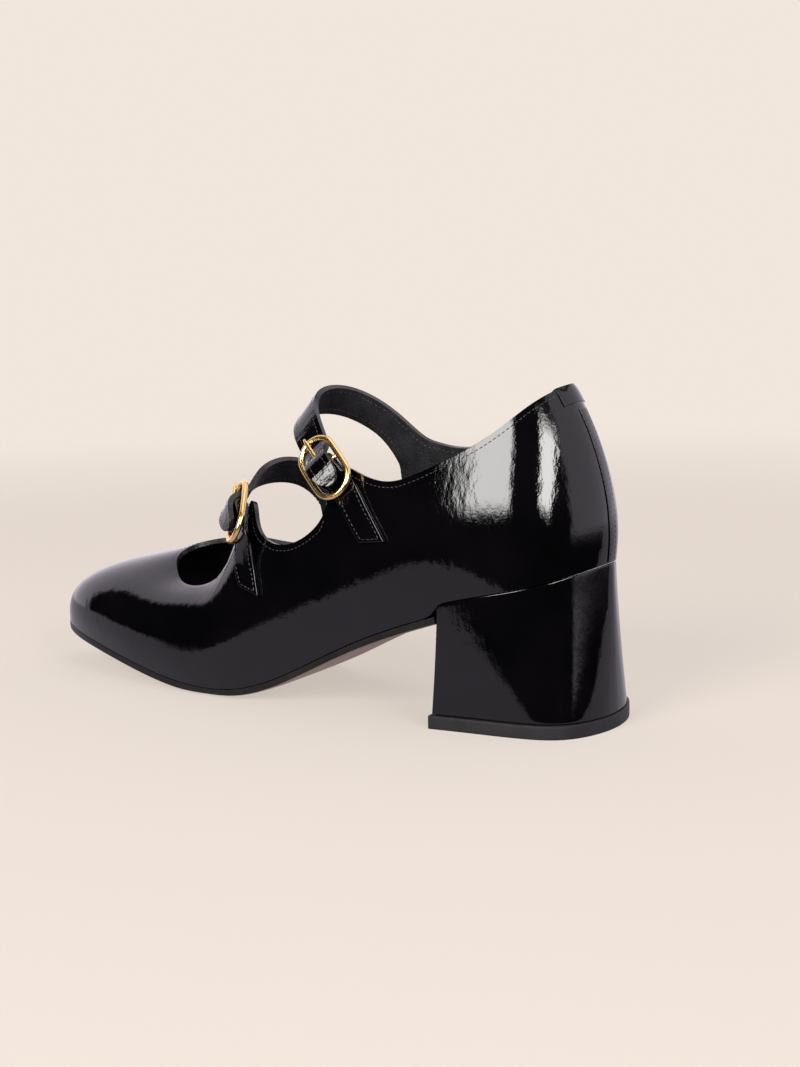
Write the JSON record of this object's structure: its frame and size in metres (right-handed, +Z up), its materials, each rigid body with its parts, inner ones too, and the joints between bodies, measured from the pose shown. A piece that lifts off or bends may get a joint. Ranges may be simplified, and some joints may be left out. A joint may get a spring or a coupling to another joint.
{
  "type": "mary jane shoe",
  "caption": "Left mary jane shoe in glossy leather with a round toe, buckled straps over the instep and a flared block heel.",
  "frame": {"origin": "centre of the shoe's box on the floor plane, under the waist of the sole", "axes": "+X to the toe, +Y to the outer side of the foot, +Z up"},
  "size_m": [0.2404, 0.0802, 0.1115],
  "materials": {
    "patent_leather": "mirror-gloss black patent coating",
    "heel_cover": "patent leather drawn over the block, gloss",
    "lining_leather": "matte black lining with fine grain",
    "sole_leather": "natural leather tread with blackened, waxed edge",
    "heel_rubber": "matte black rubber",
    "brass_metal": "polished pale gold plating"
  },
  "bodies": {
    "root": {"buckle_frame_front": "brass_metal", "buckle_frame_rear": "brass_metal", "buckle_prong_front": "brass_metal", "buckle_prong_rear": "brass_metal", "chape_front": "patent_leather", "chape_rear": "patent_leather", "heel_block": "heel_cover", "insole": "lining_leather", "outsole": "sole_leather", "strap_front": "patent_leather", "strap_rear": "patent_leather", "top_lift": "heel_rubber", "upper": "patent_leather"}
  },
  "joints": []
}
